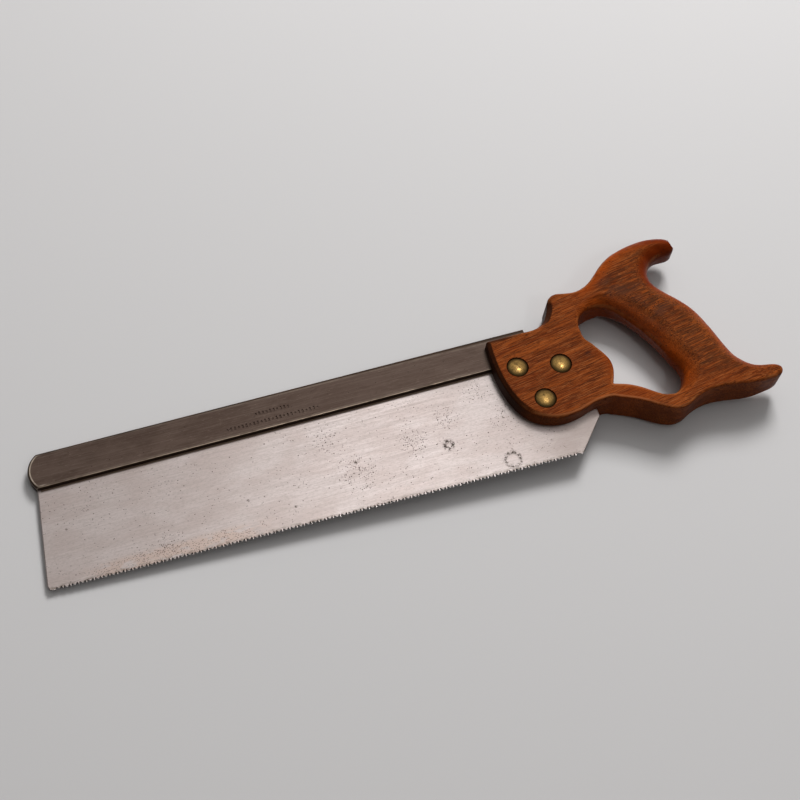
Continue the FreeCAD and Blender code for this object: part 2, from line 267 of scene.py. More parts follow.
def make_plate():
    """Plate with bevelled ends and teeth that are set and filed alternately to either side."""
    along = (TOOTH_END - TOOTH_START) / np.linalg.norm(TOOTH_END - TOOTH_START)
    inward = np.array([-along[1], along[0]])
    toe_inset = np.array([EDGE_BEVEL, 0.0])
    heel_inset = EDGE_BEVEL * np.array([-0.72, 0.69])

    # Each row of the outline: place, inset of the flat face, bend towards +Z, skew along the teeth.
    rows = [(np.array(TOE_TOP), toe_inset, 0.0, 0.0)]
    rows.append((np.array([-7.5, -55.6]), toe_inset, 0.0, 0.0))
    rows.append((np.array([-6.6, -58.2]), 0.5 * toe_inset, 0.0, 0.0))
    tips = []
    for tooth in range(2, TOOTH_COUNT):
        worn = 0.5 * TOOTH_HEIGHT * max(0.0, 1.0 - tooth / 5.0) + 0.14 * (1.0 + math.sin(tooth * 2.4)) / 2
        lean = TOOTH_SET if tooth % 2 else -TOOTH_SET
        skew = TOOTH_SKEW if tooth % 2 else -TOOTH_SKEW
        tip = TOOTH_START + along * TOOTH_PITCH * tooth + inward * worn
        root = TOOTH_START + along * TOOTH_PITCH * (tooth + 0.5) + inward * TOOTH_HEIGHT
        tips.append(len(rows))
        rows.append((tip, np.zeros(2), lean, 0.0))
        rows.append((root, np.zeros(2), 0.0, skew))
    rows.append((TOOTH_END + inward * 0.1, heel_inset * 0.5, 0.0, 0.0))
    rows.append((np.array(SHOULDER), heel_inset, 0.0, 0.0))
    rows.append((np.array([SHOULDER[0], TOE_TOP[1]]), np.zeros(2), 0.0, 0.0))

    layers = [(-PLATE_HALF, 1.0), (BEVEL_DEPTH - PLATE_HALF, 0.0),
              (PLATE_HALF - BEVEL_DEPTH, 0.0), (PLATE_HALF, 1.0)]
    points = []
    for height, inset_share in layers:
        for place, inset, lean, skew in rows:
            flat = place + inset * inset_share + along * skew * height / PLATE_HALF
            points.append((*flat, height + lean))
    count = len(rows)
    faces = []
    for index in range(count):
        following = (index + 1) % count
        for layer in range(3):
            low = layer * count
            high = low + count
            faces.append((low + index, low + following, high + following, high + index))
    body = [index for index in range(count) if index not in set(tips)]
    top = 3 * count
    faces.append([top + index for index in body])
    faces.append(body[::-1])
    for tip in tips:
        faces.append((top + tip - 1, top + tip, top + tip + 1))
        faces.append((tip + 1, tip, tip - 1))
    plate = make_piece("toothed_plate", points, faces, "saw_plate", 20.0)
    hole = [(0, -2), (HOLE_RADIUS, -2), (HOLE_RADIUS, 2), (0, 2)]
    cut(plate, [lathe(hole, centre, 48) for centre in SCREW_PLACES.values()], 20.0)
    return plate


# ---------------------------------------------------------------- back

BACK_HEIGHT = 21.0
TOE_ARC = ((3.6, 21.0), (-3.0, 7.5), (0.2, 0.0))
FOLD_DEPTH = 9.5
TOP_ROUNDING = 1.3
LOWER_ROUNDING = 0.5
MARK_DEPTH = 0.35


def arc_points(start, middle, end, steps):
    """Points along the arc through three places, ends included."""
    (ax, ay), (bx, by), (cx, cy) = start, middle, end
    double = 2 * (ax * (by - cy) + bx * (cy - ay) + cx * (ay - by))
    squares = (ax * ax + ay * ay, bx * bx + by * by, cx * cx + cy * cy)
    x = (squares[0] * (by - cy) + squares[1] * (cy - ay) + squares[2] * (ay - by)) / double
    y = (squares[0] * (cx - bx) + squares[1] * (ax - cx) + squares[2] * (bx - ax)) / double
    radius = math.hypot(ax - x, ay - y)
    first = math.atan2(ay - y, ax - x)
    last = math.atan2(cy - y, cx - x)
    if last < first:
        last += 2 * math.pi
    turns = np.linspace(first, last, steps + 1)
    return np.stack([x + radius * np.cos(turns), y + radius * np.sin(turns)], axis=1)


def inset_loop(loop, amounts):
    """Move each side of a closed loop inwards by its own amount and join the sides again at corners."""
    result = []
    count = len(loop)
    for index in range(count):
        before = loop[index] - loop[index - 1]
        after = loop[(index + 1) % count] - loop[index]
        normals = np.array([[-before[1], before[0]], [-after[1], after[0]]])
        normals /= np.linalg.norm(normals, axis=1)[:, None]
        shifts = np.array([amounts[index - 1], amounts[index]])
        if abs(np.linalg.det(normals)) < 0.02:
            result.append(loop[index] + normals[0] * shifts.mean())
        else:
            result.append(loop[index] + np.linalg.solve(normals, shifts))
    return np.array(result)


def make_marks():
    """Two rows of small plain punch marks on the upper face of the back."""
    marks = []
    for first, last, height, pitch in ((126.0, 145.0, 10.7, 2.1), (108.0, 161.0, 5.3, 2.2)):
        for index, across in enumerate(np.arange(first, last, pitch)):
            long_side = 1.25 if index % 3 else 0.7
            outline = [(-0.62, -long_side), (0.62, -long_side), (0.62, long_side), (-0.62, long_side)]
            points = [(across + x, height + y, BACK_HALF + 0.2) for x, y in outline]
            points += [(across + 0.3 * x, height + 0.6 * y, BACK_HALF - MARK_DEPTH) for x, y in outline]
            sides = [(corner + 4, (corner + 1) % 4 + 4, (corner + 1) % 4, corner) for corner in range(4)]
            marks.append((points, [(0, 1, 2, 3), (7, 6, 5, 4), *sides]))
    return marks


def make_back():
    """Folded strip with a swelled, rounded toe, a slot for the plate and punch marks."""
    toe = arc_points(*TOE_ARC, 24)
    loop = np.concatenate([toe, [(BACK_HEEL, 0.0), (BACK_HEEL, BACK_HEIGHT)]])
    roundings = np.full(len(loop), TOP_ROUNDING)
    roundings[len(toe) - 1] = LOWER_ROUNDING
    roundings[len(toe)] = LOWER_ROUNDING
    corner_roundings = (roundings + np.roll(roundings, 1)) / 2

    quarter = [math.radians(angle) for angle in (0, 15, 30, 45, 60, 75, 90)]
    rings = []
    for turn in quarter:
        drop = corner_roundings * (1 - math.sin(turn))
        rings.append((roundings * (1 - math.cos(turn)), BACK_HALF - drop))
    for further in (1.35, 1.8, 2.4):
        rings.append((roundings * further, np.full(len(loop), BACK_HALF)))
    layers = [(inset, -height) for inset, height in reversed(rings)] + rings
    points = []
    for inset, heights in layers:
        flat = inset_loop(loop, inset)
        points.extend((x, y, z) for (x, y), z in zip(flat, heights))
    count = len(loop)
    faces = [list(range(count))[::-1], [(len(layers) - 1) * count + index for index in range(count)]]
    for layer in range(len(layers) - 1):
        for index in range(count):
            following = (index + 1) % count
            low = layer * count
            faces.append((low + index, low + following, low + count + following, low + count + index))
    back = make_piece("folded_back", points, faces, "saw_back")
    slot = block((-8.0, -2.0, -PLATE_HALF), (BACK_HEEL + 5.0, FOLD_DEPTH, PLATE_HALF))
    cut(back, [slot, *make_marks()])
    mark_rim(back, [loop], 4.0)
    return back


# ---------------------------------------------------------------- handle

CELL = 0.5
SECTION_HEIGHT = -5.5
SHORTEST_OUTLINE = 60.0
DEEPEST_ROUNDING = 10.7
EASING_SPACING = 1.5
EASING_CATCH = 2.5
CREASE = 0.07

# Small chips knocked out of the horns: centre and radius.
# The plate sits in the kerf and the back in the mortise: half widths, and X and Y of the closed ends.
KERF_HALF = 0.45
KERF_CORNER = (316.6, 8.3)
MORTISE_HALF = 3.35
MORTISE_CORNER = (293.7, -0.2)
RECESS_RADIUS = 6.5

CHIPS = [((408.6, 52.2, 8.4), 5.8), ((407.0, 47.6, 9.4), 3.0), ((402.6, 57.8, 9.2), 1.6),
         ((432.6, -49.5, 6.0), 1.7), ((371.5, 57.6, 10.8), 1.3)]

# How far in plan the easing of the handle's edges reaches at places around its outline, and
# whether it is round (2) or a flat chamfer (1).
EASING = [
    (270.0, 15.0, 1.5, 2.0), (291.0, 15.0, 1.5, 2.0), (300.0, 16.5, 2.4, 1.2), (306.5, 21.0, 3.0, 1.0),
    (311.0, 28.5, 3.0, 1.0), (314.5, 34.0, 1.4, 1.5), (320.0, 34.6, 1.2, 2.0), (330.5, 33.1, 1.5, 2.0),
    (341.0, 36.8, 2.0, 2.0), (352.0, 45.8, 3.0, 2.0), (362.0, 52.4, 4.5, 2.0), (372.0, 56.3, 6.5, 2.0),
    (382.0, 58.8, 8.0, 2.0), (393.0, 59.0, 7.0, 2.0), (401.6, 56.3, 5.5, 2.0), (405.3, 50.5, 5.0, 2.0),
    (401.0, 45.8, 7.0, 2.0), (393.0, 45.0, 8.5, 2.0), (386.5, 42.0, 11.0, 2.0), (382.5, 35.0, 11.5, 2.0),
    (384.0, 26.5, 12.0, 2.0), (391.0, 17.5, 12.0, 2.0), (398.5, 5.5, 12.0, 2.0), (403.0, -7.0, 12.0, 2.0),
    (406.0, -19.5, 11.8, 2.0), (409.5, -31.5, 11.0, 2.0), (414.7, -40.2, 8.0, 2.0),
    (421.7, -44.0, 5.0, 2.0), (428.4, -46.0, 3.5, 2.0), (431.6, -50.0, 3.0, 2.0),
    (425.4, -54.5, 2.4, 2.0), (413.0, -55.2, 1.8, 2.0), (399.0, -53.3, 1.6, 2.0),
    (385.0, -52.0, 1.5, 2.0), (372.5, -54.8, 1.3, 2.0), (361.5, -58.8, 1.2, 2.0),
    (350.0, -54.8, 1.1, 2.0), (338.5, -46.9, 1.0, 2.0), (327.0, -41.6, 1.0, 2.0),
    (316.6, -40.4, 1.1, 1.8), (305.0, -43.0, 1.2, 1.7), (294.5, -44.6, 1.3, 1.5),
    (283.5, -42.4, 1.7, 1.2), (274.2, -35.6, 2.2, 1.0), (268.0, -23.0, 2.2, 1.0), (265.7, -8.0, 2.2, 1.0),
    (265.8, 4.0, 2.2, 1.0), (266.8, 13.5, 2.0, 1.0), (328.2, -32.4, 1.0, 2.0), (332.6, -17.5, 1.0, 2.0),
    (329.6, -9.4, 1.0, 2.0), (325.2, -1.6, 1.1, 2.0), (323.6, 6.5, 1.8, 2.0), (325.5, 13.0, 2.8, 2.0),
    (329.5, 17.8, 3.8, 2.0), (335.5, 20.5, 5.5, 2.0), (343.0, 20.6, 8.0, 2.0), (351.0, 16.2, 9.5, 2.0),
    (356.5, 9.0, 11.0, 2.0), (361.5, 1.2, 12.0, 2.0), (367.0, -10.8, 12.5, 2.0),
    (370.5, -21.0, 12.5, 2.0), (373.0, -29.5, 12.0, 2.0), (372.8, -37.0, 10.5, 2.0),
    (369.3, -42.8, 7.5, 2.0), (364.6, -46.4, 4.0, 2.0), (357.8, -48.2, 1.4, 2.0),
    (350.0, -44.4, 1.2, 2.0), (342.0, -38.2, 1.2, 2.0), (335.0, -34.6, 1.1, 2.0),
]

# Where the horns thin towards their tips: centre, reach and how much thinner each side is.
HORN_TAPERS = [((405.0, 52.0), 30.0, 1.6), ((431.0, -51.0), 26.0, 1.8)]


def eased_outline(loops):
    """Points close together along the outlines, with the reach and roundness of the easing at each."""
    settings = np.array(EASING)
    points, easings = [], []
    for loop in loops:
        sides = np.linalg.norm(np.roll(loop, -1, axis=0) - loop, axis=1)
        along = np.concatenate([[0.0], np.cumsum(sides)])
        closed = np.concatenate([loop, loop[:1]])
        spots = np.arange(0.0, along[-1], EASING_SPACING)
        run = np.stack([np.interp(spots, along, closed[:, axis]) for axis in range(2)], axis=1)
        gaps = np.linalg.norm(run[:, None, :] - settings[None, :, :2], axis=2)
        nearest = gaps.argmin(axis=0)
        own = gaps[nearest, np.arange(len(settings))] < EASING_CATCH
        order = np.argsort(spots[nearest[own]])
        stations = spots[nearest[own]][order]
        easings.append(np.stack([np.interp(spots, stations, settings[own][order, column], period=along[-1])
                                 for column in (2, 3)], axis=1))
        points.append(run)
    return np.concatenate(points), np.concatenate(easings)


def eased_edge(places, loops):
    """Reach and roundness of the easing near each place, blended smoothly between the outlines."""
    weight_sum = np.zeros(len(places))
    easing = np.zeros((2, len(places)))
    for (x, y), (local_reach, local_roundness) in zip(*eased_outline(loops)):
        weight = ((places[:, 0] - x) ** 2 + (places[:, 1] - y) ** 2 + 1.0) ** -2.5
        weight_sum += weight
        easing[0] += weight * local_reach
        easing[1] += weight * local_roundness
    return easing / weight_sum


def half_thickness(places):
    """Half the thickness of the handle, thinner at the horns."""
    half = np.full(len(places), HALF_HANDLE)
    for centre, reach, thinner in HORN_TAPERS:
        near = np.clip(1.0 - np.hypot(*(places - np.array(centre)).T) / reach, 0.0, 1.0)
        half -= thinner * near * near * (3 - 2 * near)
    return half


def hand_worn(x, y, z):
    """Slow waviness of a hand-shaped surface, a fraction of a millimetre."""
    return 0.07 * (np.sin(0.31 * x + 0.9 * np.sin(0.23 * y)) * np.sin(0.27 * y + 0.6)
                   + np.sin(0.57 * x + 0.41 * y + 0.35 * z))


def make_handle():
    """Closed handle with crisp cheeks, a rounded grip and tapered horns, bored for the screws."""
    loops = section_loops("handle", SECTION_HEIGHT, SHORTEST_OUTLINE)
    rim = np.concatenate(loops)
    margin = 4 * CELL
    low = np.array([*(rim.min(axis=0) - margin), -HALF_HANDLE - margin])
    high = np.array([*(rim.max(axis=0) + margin), HALF_HANDLE + margin])
    axes = [np.arange(start, end, CELL) for start, end in zip(low, high)]
    grid_x, grid_y = np.meshgrid(axes[0], axes[1], indexing="ij")
    places = np.stack([grid_x.ravel(), grid_y.ravel()], axis=1)
    gap, inside = distance_and_side(places, loops)
    depth = np.where(inside, gap, -gap)
    reach, roundness = eased_edge(places, loops)
    half = half_thickness(places)

    field = np.empty((*grid_x.shape, len(axes[2])))
    # A rounding would rise above the flat face if it ran on, so it meets the face in a faint crease.
    fall = np.minimum(reach, DEEPEST_ROUNDING)
    overshoot = 1.0 + CREASE * (roundness - 1.0)
    cut_short = (1.0 - overshoot ** -roundness) ** (1 / roundness)
    wide = reach / (1.0 - cut_short)
    across = np.maximum(0.0, (wide - depth) / wide)
    for layer, height in enumerate(axes[2]):
        wave = hand_worn(places[:, 0], places[:, 1], height)
        wave = wave * np.clip(depth / 4.0, 0.0, 1.0) * (reach > 4.0)
        up = np.maximum(0.0, (abs(height) - (half - fall)) / (fall * overshoot))
        corner = (across ** roundness + up ** roundness) ** (1 / roundness)
        body = np.maximum(-depth, abs(height) - half)
        body = np.where((across > 0) & (up > 0), np.maximum((corner - 1) * fall, body), body)
        for (x, y, z), radius in CHIPS:
            from_chip = np.sqrt((places[:, 0] - x) ** 2 + (places[:, 1] - y) ** 2 + (height - z) ** 2)
            body = np.maximum(body, radius - from_chip)
        field[:, :, layer] = (body + wave).reshape(grid_x.shape)
    points, faces = surface_net(field, low, CELL)
    handle = make_piece("wooden_handle", points, faces, "handle", 50.0)

    kerf = block((240.0, -80.0, -KERF_HALF), (*KERF_CORNER, KERF_HALF))
    mortise = block((240.0, MORTISE_CORNER[1], -MORTISE_HALF), (MORTISE_CORNER[0], 60.0, MORTISE_HALF))
    cut(handle, [kerf], 50.0)
    cut(handle, [mortise], 50.0)
    for centre in SCREW_PLACES.values():
        bore = [(0, -14), (RECESS_RADIUS, -14), (RECESS_RADIUS, NUT_INNER), (HOLE_RADIUS, NUT_INNER),
                (HOLE_RADIUS, HEAD_SEAT), (RECESS_RADIUS, HEAD_SEAT), (RECESS_RADIUS, 14), (0, 14)]
        cut(handle, [lathe(bore, centre, 72)], 50.0)
    mark_rim(handle, loops, 14.0)
    return handle


# ---------------------------------------------------------------- screws and nuts

HEAD_RADIUS = 6.35
HEAD_SEAT = 9.3
RIM_TOP = 10.5
DOME_RISE = 2.1
SHANK_RADIUS = 2.4
SHANK_TIP = -10.7
NUT_INNER = -7.9
NUT_BORE = 2.45
NUT_EDGE = 0.25
SLOT_HALF = 0.7
SLOT_DEPTH = 0.9


def make_screw(name, centre):
    """Domed screw head on a thin eased rim, with its shank."""
    curve = (HEAD_RADIUS ** 2 + DOME_RISE ** 2) / (2 * DOME_RISE)
    dome = []
    for share in np.linspace(0.97, 0.0, 14):
        radius = HEAD_RADIUS * share
        dome.append((radius, RIM_TOP + DOME_RISE - curve + math.sqrt(curve ** 2 - radius ** 2)))
    profile = [(0, SHANK_TIP), (SHANK_RADIUS - 0.3, SHANK_TIP), (SHANK_RADIUS, SHANK_TIP + 0.3),
               (SHANK_RADIUS, HEAD_SEAT), (HEAD_RADIUS - 0.2, HEAD_SEAT), (HEAD_RADIUS, HEAD_SEAT + 0.2),
               (HEAD_RADIUS, RIM_TOP - 0.15), *dome]
    points, faces = lathe(profile, centre)
    screw = make_piece(f"{name}_screw", points, faces, f"{name}_saw_screw")
    mark_centre(screw, centre)
    return screw


def make_nut(name, centre):
    """Flush round nut with an eased edge and a driver slot."""
    outer = SHANK_TIP
    profile = [(0, outer), (HEAD_RADIUS - NUT_EDGE, outer), (HEAD_RADIUS, outer + NUT_EDGE),
               (HEAD_RADIUS, NUT_INNER), (0, NUT_INNER)]
    points, faces = lathe(profile, centre)
    nut = make_piece(f"{name}_nut", points, faces, f"{name}_saw_nut")
    bore = lathe([(0, -14), (NUT_BORE, -14), (NUT_BORE, -5), (0, -5)], centre, 48)
    cut(nut, [bore])
    slot_low = (centre[0] - 8, centre[1] - SLOT_HALF, -14.0)
    slot_high = (centre[0] + 8, centre[1] + SLOT_HALF, outer + SLOT_DEPTH)
    cut(nut, [block(slot_low, slot_high)])
    mark_centre(nut, centre)
    return nut


def mark_centre(piece, centre):
    """Store on each point how far it lies inside the edge of a round head."""
    count = len(piece.data.vertices)
    places = np.empty(count * 3)
    piece.data.vertices.foreach_get("co", places)
    places = (places.reshape(-1, 3) - ORIGIN) / MM
    gap = HEAD_RADIUS - np.hypot(places[:, 0] - centre[0], places[:, 1] - centre[1])
    rim = piece.data.attributes.new("rim", "FLOAT", "POINT")
    rim.data.foreach_set("value", np.maximum(gap, 0.0))


# ---------------------------------------------------------------- materials

class Surface:
    """A material built node by node around one Principled shader, its colour painted coat by coat."""

    def __init__(self, name, colour):
        self.material = bpy.data.materials.new(name)
        self.material.use_nodes = True
        self.tree = self.material.node_tree
        self.shader = self.tree.nodes["Principled BSDF"]
        self.colour = colour
        shift = self.vector("SUBTRACT", self.node("TexCoord").outputs["Object"], tuple(ORIGIN))
        self.place = self.vector("MULTIPLY", shift, (1 / MM, 1 / MM, 1 / MM))
        self.texture_place = self.place

    def node(self, kind, inputs=(), **settings):
        """Make a node with some settings, and feed its inputs, each a name or number and a value."""
        node = self.tree.nodes.new("ShaderNode" + kind)
        for name, value in settings.items():
            setattr(node, name, value)
        for name, value in inputs:
            self.feed(node.inputs[name], value)
        return node

    def feed(self, socket, value):
        """Set a socket to a value, or link another node's output to it."""
        if isinstance(value, bpy.types.NodeSocket):
            self.tree.links.new(value, socket)
        elif value is not None:
            socket.default_value = (*value, 1.0) if socket.type == "RGBA" else value

    def vector(self, operation, first, second):
        """Vector maths."""
        node = self.node("VectorMath", ((0, first), (1, second)), operation=operation)
        return node.outputs["Value" if operation == "DISTANCE" else "Vector"]

    def math(self, operation, first, second=None):
        """Number maths."""
        return self.node("Math", ((0, first), (1, second)), operation=operation).outputs[0]

    def product(self, first, *others):
        """All the numbers multiplied together."""
        for other in others:
            first = self.math("MULTIPLY", first, other)
        return first

    def most(self, first, *others):
        """The largest of the numbers."""
        for other in others:
            first = self.math("MAXIMUM", first, other)
        return first

    def step(self, value, low, high, to_low, to_high):
        """Smooth step from one value to another as the input goes from low to high."""
        inputs = (("Value", value), ("From Min", low), ("From Max", high),
                  ("To Min", to_low), ("To Max", to_high))
        return self.node("MapRange", inputs, interpolation_type="SMOOTHSTEP").outputs["Result"]

    def rise(self, value, low, high, top=1.0):
        """Nothing up to low, rising smoothly to the top at high."""
        return self.step(value, low, high, 0.0, top)

    def fall(self, value, low, high, top=1.0):
        """The top up to low, falling smoothly to nothing at high."""
        return self.step(value, low, high, top, 0.0)

    def turn_texture(self, degrees):
        """Turn the directions of all later noise and specks about Z."""
        inputs = (("Vector", self.place), ("Angle", math.radians(-degrees)))
        self.texture_place = self.node("VectorRotate", inputs, rotation_type="Z_AXIS").outputs["Vector"]

    def sized(self, size, offset):
        """The place in saw coordinates, measured in cells of a size in millimetres."""
        moved = self.vector("ADD", self.texture_place, offset)
        return self.vector("MULTIPLY", moved, tuple(1 / side for side in size))

    def noise(self, size, detail, roughness, distortion=0.0, offset=(0.0, 0.0, 0.0)):
        """Noise whose blotches have a size in millimetres."""
        inputs = (("Vector", self.sized(size, offset)), ("Scale", 1.0), ("Detail", detail),
                  ("Roughness", roughness), ("Distortion", distortion))
        return self.node("TexNoise", inputs).outputs["Fac"]

    def specks(self, size, offset=(0.0, 0.0, 0.0)):
        """Distance to the nearest of scattered points, and an even random number for each point."""
        points = self.node("TexVoronoi", (("Vector", self.sized(size, offset)), ("Scale", 1.0)))
        parts = self.node("SeparateColor", ((0, points.outputs["Color"]),))
        return points.outputs["Distance"], parts.outputs[0]

    def dots(self, distance, chance, limit, inner, outer, top=1.0):
        """Dots round the scattered points whose random number is under a limit."""
        return self.product(self.math("LESS_THAN", chance, limit), self.fall(distance, inner, outer, top))

    def paint(self, share, colour):
        """Cover a share of the colour so far with another colour."""
        inputs = ((0, share), (6, self.colour), (7, colour))
        self.colour = self.node("Mix", inputs, data_type="RGBA").outputs[2]

    def coat(self, value, low, high, top, colour):
        """Paint a colour where a value rises from low to high."""
        self.paint(self.rise(value, low, high, top), colour)

    def attribute(self, name):
        """A number stored on the points of the mesh."""
        return self.node("Attribute", attribute_name=name).outputs["Fac"]

    def axis(self, letter):
        """One saw coordinate in millimetres."""
        return self.node("SeparateXYZ", ((0, self.place),)).outputs[letter]

    def normal(self, letter):
        """One part of the surface's own direction."""
        direction = self.node("NewGeometry").outputs["Normal"]
        return self.node("SeparateXYZ", ((0, direction),)).outputs[letter]

    def distance_to(self, place):
        """Distance in plan from a place on the saw."""
        return self.vector("DISTANCE", self.vector("MULTIPLY", self.place, (1.0, 1.0, 0.0)), (*place, 0.0))

    def near(self, place, reach, softness):
        """One inside a circle on the saw, falling to nothing over a soft share of its reach."""
        return self.fall(self.distance_to(place), reach * softness, reach)

    def near_any(self, circles, softness):
        """One inside any of several circles, each a place and a reach."""
        return self.most(*(self.near(place, reach, softness) for place, reach in circles))

    def bump(self, height, distance, strength):
        """Bump of a height in millimetres."""
        inputs = (("Strength", strength), ("Distance", distance * MM), ("Height", height))
        return self.node("Bump", inputs).outputs["Normal"]

    def finish(self, **sockets):
        """Feed the shader."""
        self.feed(self.shader.inputs["Base Color"], self.colour)
        for name, value in sockets.items():
            self.feed(self.shader.inputs[name.replace("_", " ")], value)

    def apply(self, piece):
        """Put the material on a piece."""
        piece.data.materials.clear()
        piece.data.materials.append(self.material)


STEEL = {
    "bright": (0.63, 0.555, 0.535), "dull": (0.56, 0.475, 0.45), "streak": (0.44, 0.375, 0.35),
    "brushed": (0.38, 0.32, 0.30), "grit": (0.36, 0.305, 0.275), "stain": (0.575, 0.445, 0.385),
    "pit": (0.075, 0.052, 0.038), "heel": (0.35, 0.29, 0.265), "dirt_and_shade": (0.115, 0.058, 0.026),
    "grime": (0.20, 0.165, 0.135), "gullet": (0.030, 0.022, 0.016), "tip": (0.80, 0.76, 0.74),
}

# Old rust on the plate: circles of place and reach, and rings of place, radius and width.
RUSTY_AREAS = [((170.0, -40.0), 17.0), ((252.0, -10.0), 12.0), ((158.0, -12.0), 11.0),
               ((60.0, -54.0), 15.0), ((205.0, -30.0), 13.0), ((230.0, -20.0), 11.0), ((262.0, -30.0), 12.0)]
RUST_SPOTS = [((9.5, -26.5), 1.1), ((62.0, -4.4), 0.7), ((107.0, -38.5), 1.2), ((150.4, -4.5), 0.8),
              ((26.0, -11.5), 0.7), ((171.0, -33.0), 1.6), ((131.0, -49.5), 1.2), ((283.0, -52.0), 1.0)]
RUST_RINGS = [((257.0, -57.2), 4.5, 1.8), ((225.0, -38.0), 2.4, 2.0)]


def finish_plate(plate):
    """Old bright steel: lengthwise polish marks, faint tan patina, pits and a few rust rings."""
    skin = Surface("worn_steel", STEEL["bright"])
    along = skin.axis("X")
    up = skin.axis("Y")
    streaks = skin.noise((45.0, 0.9, 3.0), 4.0, 0.6)
    brush = skin.noise((7.0, 0.22, 1.0), 2.0, 0.5)
    clouds = skin.noise((34.0, 16.0, 9.0), 4.0, 0.6, 0.4)
    grit = skin.noise((1.6, 0.6, 1.0), 3.0, 0.75)
    skin.coat(clouds, 0.36, 0.66, 1.0, STEEL["dull"])
    skin.coat(streaks, 0.35, 0.7, 0.35, STEEL["streak"])
    skin.coat(brush, 0.5, 0.8, 0.4, STEEL["brushed"])
    skin.coat(grit, 0.46, 0.68, 0.42, STEEL["grit"])

    # Tan stain along the teeth near the toe, with a ragged edge.
    ragged = skin.noise((14.0, 4.0, 4.0), 4.0, 0.65)
    stain = skin.product(skin.rise(along, 5.0, 30.0), skin.fall(along, 90.0, 125.0),
                         skin.fall(up, -54.0, -49.5), skin.rise(ragged, 0.40, 0.50))
    skin.paint(skin.product(stain, 0.8), STEEL["stain"])

    # Scattered pits, thicker in some areas and around old rust marks, with finer ones in the stain.
    rusty = skin.product(skin.near_any(RUSTY_AREAS, 0.1), 0.30)
    crowd = skin.noise((26.0, 18.0, 9.0), 2.0, 0.5, 0.0, (13.0, 7.0, 0.0))
    crowd = skin.math("ADD", skin.rise(crowd, 0.45, 0.75, 0.10), rusty)
    crowd = skin.math("ADD", crowd, 0.012)
    distance, chance = skin.specks((1.15, 1.0, 1.0))
    uneven = skin.math("ADD", distance, skin.noise((0.7, 0.45, 1.0), 2.0, 0.6))
    pits = skin.dots(uneven, chance, crowd, 0.66, 0.84)
    crowd = skin.math("ADD", skin.product(crowd, 0.8), skin.product(stain, 0.5))
    distance, chance = skin.specks((0.85, 0.6, 1.0), (40.0, 9.0, 0.0))
    pits = skin.most(pits, skin.dots(distance, chance, crowd, 0.22, 0.50, 0.75))

    # Two old rings and a few single spots, all broken up.
    broken = skin.rise(skin.noise((0.9, 0.6, 1.0), 2.0, 0.6), 0.40, 0.55)
    marks = skin.product(skin.near_any(RUST_SPOTS, 0.2), broken)
    patchy = skin.rise(skin.noise((1.5, 1.1, 1.0), 3.0, 0.7), 0.44, 0.58)
    for place, radius, width in RUST_RINGS:
        off_ring = skin.math("ABSOLUTE", skin.math("SUBTRACT", skin.distance_to(place), radius))
        marks = skin.most(marks, skin.product(skin.fall(off_ring, 0.1, width), patchy))
    dark = skin.most(skin.product(marks, 0.92), pits)
    skin.paint(dark, STEEL["pit"])

    # Painted shade darkens the heel beside the handle, and a dark brown band of painted shade and painted
    # reflection of the back's underside sits in the corner under the back.
    heel = skin.product(skin.rise(along, 258.0, 296.0), skin.step(clouds, 0.3, 0.6, 0.35, 0.6))
    skin.paint(heel, STEEL["heel"])
    # Painted shade and painted reflection: a dark brown band on the plate under the back.
    corner = skin.product(skin.rise(up, -1.9, -0.7, 0.92), skin.rise(along, 0.8, 2.0))
    skin.paint(corner, STEEL["dirt_and_shade"])
    dark = skin.most(dark, corner)

    # Grime along the teeth, painted shade on the walls in the gullets and bright filed tips.
    slope = (TOOTH_END[1] - TOOTH_START[1]) / (TOOTH_END[0] - TOOTH_START[0])
    run = skin.math("SUBTRACT", along, TOOTH_START[0])
    tooth_line = skin.math("ADD", skin.product(run, slope), TOOTH_START[1])
    above = skin.math("SUBTRACT", up, tooth_line)
    ragged = skin.rise(skin.noise((3.0, 1.4, 1.0), 3.0, 0.7), 0.42, 0.62)
    skin.paint(skin.product(skin.fall(above, 1.3, 3.2, 0.75), ragged), STEEL["grime"])
    gullet_wall_shade = skin.fall(skin.math("ABSOLUTE", skin.normal("Z")), 0.3, 0.7, 0.9)
    skin.paint(skin.product(gullet_wall_shade, skin.fall(above, 1.8, 2.4)), STEEL["gullet"])
    skin.paint(skin.fall(above, 0.1, 1.1, 0.7), STEEL["tip"])

    roughness = skin.step(streaks, 0.3, 0.7, 0.29, 0.37)
    roughness = skin.math("ADD", roughness, skin.product(dark, 0.35))
    height = skin.math("SUBTRACT", skin.product(brush, 0.35), skin.product(dark, 2.0))
    metal = skin.math("SUBTRACT", 0.95, skin.product(dark, 0.7))
    skin.finish(Roughness=roughness, Metallic=metal, Normal=skin.bump(height, 0.02, 0.6))
    skin.apply(plate)


BROWNED = {
    "base": (0.082, 0.053, 0.041), "light": (0.122, 0.083, 0.066), "streak": (0.170, 0.124, 0.100),
    "scratch": (0.045, 0.032, 0.024), "glint": (0.26, 0.195, 0.155), "upper_edge_shade": (0.045, 0.032, 0.026),
    "rounding_shade": (0.055, 0.036, 0.024), "edge_highlight_line": (0.62, 0.52, 0.42), "lower_edge_highlight": (0.36, 0.28, 0.215),
    "underside_shade": (0.045, 0.023, 0.012), "rust": (0.16, 0.065, 0.028), "pit": (0.035, 0.025, 0.02),
}


